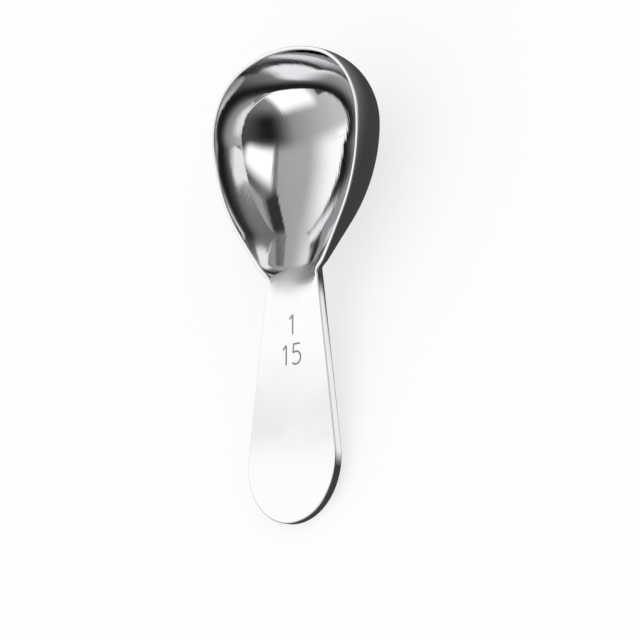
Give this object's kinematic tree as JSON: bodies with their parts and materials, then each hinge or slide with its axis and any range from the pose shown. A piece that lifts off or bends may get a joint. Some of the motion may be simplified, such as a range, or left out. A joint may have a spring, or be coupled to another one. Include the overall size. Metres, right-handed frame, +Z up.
{
  "type": "measuring spoon",
  "caption": "Flat-handled stainless steel measuring spoon with a deep egg-shaped bowl, level rim and rounded handle end, for measuring a level spoonful of powder or liquid.",
  "frame": {"origin": "middle of the spoon's outer box, on the table that it lies on", "axes": "+Y along the spoon from the handle to the bowl, +Z up from the table; the spoon lies as it rests, on the bowl's underside and the handle's end, with the mouth up"},
  "size_m": [0.042, 0.0946, 0.0221],
  "materials": {
    "stainless_steel": "mirror polished, with faint lengthwise polishing lines"
  },
  "bodies": {
    "root": {"bowl": "stainless_steel", "handle": "stainless_steel"}
  },
  "joints": []
}
